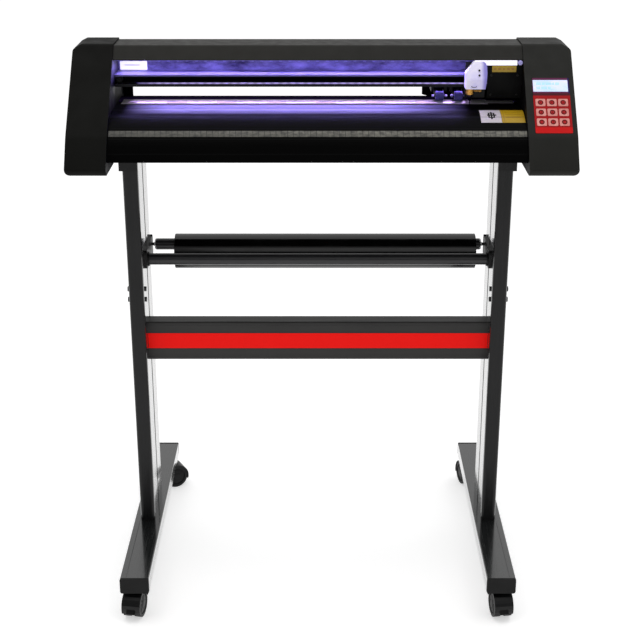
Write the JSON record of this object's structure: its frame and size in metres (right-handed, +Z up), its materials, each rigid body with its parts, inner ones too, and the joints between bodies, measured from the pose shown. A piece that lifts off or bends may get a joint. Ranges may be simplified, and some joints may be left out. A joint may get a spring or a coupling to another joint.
{
  "type": "vinyl cutter",
  "caption": "Floor-standing vinyl cutter: a wide head with sloping end covers, a lit cutting bay, a blade carriage, a key panel, and a stand with roll holder and castors.",
  "frame": {"origin": "on the floor, at the middle of the overall box", "axes": "+X along the cutter to the key panel's side, -Y to the front where the operator stands, +Z up"},
  "size_m": [0.884, 0.5968, 1.037],
  "materials": {
    "extrusion_grey": "satin anodised",
    "bracket_black": "satin",
    "end_cap_black": "fine grain",
    "castor_black": "satin",
    "castor_tread": "satin",
    "rod_grey": "satin",
    "roll_core": "gloss",
    "bolt_black": "satin",
    "cover_plastic": "fine grain",
    "cover_metal": "satin",
    "apron_black": "satin",
    "sheet_black": "matt",
    "beam_aluminium": "satin anodised",
    "roller_steel": "polished, gritted bands",
    "bearing_steel": "polished",
    "gear_plastic": "satin",
    "motor_black": "satin",
    "pulley_black": "moulded",
    "belt_rubber": "matt",
    "carriage_black": "satin",
    "carriage_white": "satin",
    "brass": "turned and knurled",
    "pinch_plastic": "satin",
    "pinch_rubber": "satin",
    "lamp_strip": "lit chips",
    "panel_red": "satin film",
    "display": "lit",
    "key_pink": "satin film",
    "circuit_board": "solder mask",
    "switch_black": "gloss",
    "connector_black": "fine grain"
  },
  "bodies": {
    "root": {"left_foot": "extrusion_grey", "right_foot": "extrusion_grey", "foot_end_caps": "end_cap_black", "left_leg": "extrusion_grey", "right_leg": "extrusion_grey", "head_mounts": "bracket_black", "crossbar": "extrusion_grey", "roll_brackets": "bracket_black", "roll_rods": "rod_grey", "stand_bolts": "bolt_black", "chassis_base": "sheet_black", "front_apron": "apron_black", "rear_apron": "apron_black", "side_frames": "sheet_black", "left_end_cover": "cover_plastic", "right_end_cover": "cover_plastic", "top_cover": "cover_metal", "carriage_beam": "beam_aluminium", "roller_bearings": "bearing_steel", "stepper_motors": "motor_black", "carriage_belt": "belt_rubber", "led_strip": "lamp_strip", "control_panel": "panel_red", "lcd_module": "display", "electronics": "circuit_board", "side_connectors": "connector_black"},
    "front_left_castor": {"front_left_castor": "castor_black"},
    "front_left_wheels": {"front_left_wheels": "castor_tread"},
    "front_right_castor": {"front_right_castor": "castor_black"},
    "front_right_wheels": {"front_right_wheels": "castor_tread"},
    "rear_left_castor": {"rear_left_castor": "castor_black"},
    "rear_left_wheels": {"rear_left_wheels": "castor_tread"},
    "rear_right_castor": {"rear_right_castor": "castor_black"},
    "rear_right_wheels": {"rear_right_wheels": "castor_tread"},
    "media_roll": {"media_roll": "roll_core"},
    "drive_roller": {"drive_roller": "roller_steel", "roller_gear": "gear_plastic"},
    "feed_pinion": {"feed_pinion": "gear_plastic"},
    "drive_pulley": {"drive_pulley": "pulley_black"},
    "idler_pulley": {"idler_pulley": "pulley_black"},
    "carriage": {"carriage_body": "carriage_black", "carriage_cover": "carriage_white"},
    "tool": {"blade_holder": "brass"},
    "clamp_screw": {"clamp_screw": "brass"},
    "left_pinch": {"left_pinch_holder": "pinch_plastic"},
    "left_pinch_lever": {"left_pinch_lever": "pinch_plastic"},
    "left_pinch_wheel": {"left_pinch_wheel": "pinch_rubber"},
    "right_pinch": {"right_pinch_holder": "pinch_plastic"},
    "right_pinch_lever": {"right_pinch_lever": "pinch_plastic"},
    "right_pinch_wheel": {"right_pinch_wheel": "pinch_rubber"},
    "key_1_1": {"key_1_1": "key_pink"},
    "key_1_2": {"key_1_2": "key_pink"},
    "key_1_3": {"key_1_3": "key_pink"},
    "key_2_1": {"key_2_1": "key_pink"},
    "key_2_2": {"key_2_2": "key_pink"},
    "key_2_3": {"key_2_3": "key_pink"},
    "key_3_1": {"key_3_1": "key_pink"},
    "key_3_2": {"key_3_2": "key_pink"},
    "key_3_3": {"key_3_3": "key_pink"},
    "power_switch": {"power_switch": "switch_black"}
  },
  "joints": [
    {"name": "front_left_swivel", "type": "hinge", "parent": "root", "child": "front_left_castor", "pos_m": [-0.3495, -0.246, 0.058], "axis": [0, 0, 1], "continuous": true},
    {"name": "front_left_roll", "type": "hinge", "parent": "front_left_castor", "child": "front_left_wheels", "pos_m": [-0.35297, -0.2657, 0.025], "axis": [0.9848, -0.1736, 0], "continuous": true},
    {"name": "front_right_swivel", "type": "hinge", "parent": "root", "child": "front_right_castor", "pos_m": [0.3355, -0.246, 0.058], "axis": [0, 0, 1], "continuous": true},
    {"name": "front_right_roll", "type": "hinge", "parent": "front_right_castor", "child": "front_right_wheels", "pos_m": [0.33828, -0.26581, 0.025], "axis": [0.9903, 0.1392, 0], "continuous": true},
    {"name": "rear_left_swivel", "type": "hinge", "parent": "root", "child": "rear_left_castor", "pos_m": [-0.3495, 0.246, 0.058], "axis": [0, 0, 1], "continuous": true},
    {"name": "rear_left_roll", "type": "hinge", "parent": "rear_left_castor", "child": "rear_left_wheels", "pos_m": [-0.33184, 0.25539, 0.025], "axis": [-0.4695, 0.8829, 0], "continuous": true},
    {"name": "rear_right_swivel", "type": "hinge", "parent": "root", "child": "rear_right_castor", "pos_m": [0.3355, 0.246, 0.058], "axis": [0, 0, 1], "continuous": true},
    {"name": "rear_right_roll", "type": "hinge", "parent": "rear_right_castor", "child": "rear_right_wheels", "pos_m": [0.32999, 0.26522, 0.025], "axis": [-0.9613, -0.2756, 0], "continuous": true},
    {"name": "media_roll_spin", "type": "hinge", "parent": "root", "child": "media_roll", "pos_m": [0.007, 0.054, 0.6198], "axis": [1, 0, 0], "continuous": true},
    {"name": "drive_roller_spin", "type": "hinge", "parent": "root", "child": "drive_roller", "pos_m": [-0.007, -0.024, 0.9175], "axis": [1, 0, 0], "continuous": true},
    {"name": "feed_pinion_spin", "type": "hinge", "parent": "root", "child": "feed_pinion", "pos_m": [0.36, -0.03413, 0.87971], "axis": [1, 0, 0], "continuous": true},
    {"name": "carriage_slide", "type": "slide", "parent": "root", "child": "carriage", "axis": [1, 0, 0], "range_m": [-0.614, 0]},
    {"name": "drive_pulley_spin", "type": "hinge", "parent": "root", "child": "drive_pulley", "pos_m": [0.336, -0.038, 0.9746], "axis": [0, 1, 0], "continuous": true},
    {"name": "idler_pulley_spin", "type": "hinge", "parent": "root", "child": "idler_pulley", "pos_m": [-0.362, -0.038, 0.9746], "axis": [0, 1, 0], "continuous": true},
    {"name": "tool_lift", "type": "slide", "parent": "carriage", "child": "tool", "axis": [0, 0, 1], "range_m": [-0.004, 0], "stiffness_N_per_m": 300, "springref_m": 0.003},
    {"name": "clamp_screw_turn", "type": "hinge", "parent": "tool", "child": "clamp_screw", "pos_m": [0.27, -0.072, 0.96], "axis": [1, 0, 0], "range_deg": [-360, 0]},
    {"name": "left_pinch_slide", "type": "slide", "parent": "root", "child": "left_pinch", "axis": [1, 0, 0], "range_m": [-0.53, 0]},
    {"name": "left_pinch_lift", "type": "hinge", "parent": "left_pinch", "child": "left_pinch_lever", "pos_m": [0.2134, 0.003, 0.9515], "axis": [1, 0, 0], "range_deg": [-14, 0], "stiffness_Nm_per_rad": 0.5, "springref_deg": 11.46},
    {"name": "left_pinch_wheel_spin", "type": "hinge", "parent": "left_pinch_lever", "child": "left_pinch_wheel", "pos_m": [0.2134, -0.024, 0.9413], "axis": [1, 0, 0], "continuous": true},
    {"name": "right_pinch_slide", "type": "slide", "parent": "root", "child": "right_pinch", "axis": [1, 0, 0], "range_m": [-0.004, 0.045]},
    {"name": "right_pinch_lift", "type": "hinge", "parent": "right_pinch", "child": "right_pinch_lever", "pos_m": [0.2474, 0.003, 0.9515], "axis": [1, 0, 0], "range_deg": [-14, 0], "stiffness_Nm_per_rad": 0.5, "springref_deg": 11.46},
    {"name": "right_pinch_wheel_spin", "type": "hinge", "parent": "right_pinch_lever", "child": "right_pinch_wheel", "pos_m": [0.2474, -0.024, 0.9413], "axis": [1, 0, 0], "continuous": true},
    {"name": "key_1_1_press", "type": "slide", "parent": "root", "child": "key_1_1", "axis": [0, -0.7201, 0.6938], "range_m": [-0.0005, 0], "stiffness_N_per_m": 800, "springref_m": 0.0005},
    {"name": "key_1_2_press", "type": "slide", "parent": "root", "child": "key_1_2", "axis": [0, -0.7201, 0.6938], "range_m": [-0.0005, 0], "stiffness_N_per_m": 800, "springref_m": 0.0005},
    {"name": "key_1_3_press", "type": "slide", "parent": "root", "child": "key_1_3", "axis": [0, -0.7201, 0.6938], "range_m": [-0.0005, 0], "stiffness_N_per_m": 800, "springref_m": 0.0005},
    {"name": "key_2_1_press", "type": "slide", "parent": "root", "child": "key_2_1", "axis": [0, -0.7201, 0.6938], "range_m": [-0.0005, 0], "stiffness_N_per_m": 800, "springref_m": 0.0005},
    {"name": "key_2_2_press", "type": "slide", "parent": "root", "child": "key_2_2", "axis": [0, -0.7201, 0.6938], "range_m": [-0.0005, 0], "stiffness_N_per_m": 800, "springref_m": 0.0005},
    {"name": "key_2_3_press", "type": "slide", "parent": "root", "child": "key_2_3", "axis": [0, -0.7201, 0.6938], "range_m": [-0.0005, 0], "stiffness_N_per_m": 800, "springref_m": 0.0005},
    {"name": "key_3_1_press", "type": "slide", "parent": "root", "child": "key_3_1", "axis": [0, -0.7201, 0.6938], "range_m": [-0.0005, 0], "stiffness_N_per_m": 800, "springref_m": 0.0005},
    {"name": "key_3_2_press", "type": "slide", "parent": "root", "child": "key_3_2", "axis": [0, -0.7201, 0.6938], "range_m": [-0.0005, 0], "stiffness_N_per_m": 800, "springref_m": 0.0005},
    {"name": "key_3_3_press", "type": "slide", "parent": "root", "child": "key_3_3", "axis": [0, -0.7201, 0.6938], "range_m": [-0.0005, 0], "stiffness_N_per_m": 800, "springref_m": 0.0005},
    {"name": "power_switch_tilt", "type": "hinge", "parent": "root", "child": "power_switch", "pos_m": [0.433, -0.0635, 0.883], "axis": [0, 1, 0], "range_deg": [-18, 0]}
  ],
  "couplings": [
    {"joint": "feed_pinion_spin", "follows": "drive_roller_spin", "ratio": -3.3333},
    {"joint": "drive_pulley_spin", "follows": "carriage_slide", "rad_per_m": 161.29},
    {"joint": "idler_pulley_spin", "follows": "carriage_slide", "rad_per_m": 161.29}
  ]
}
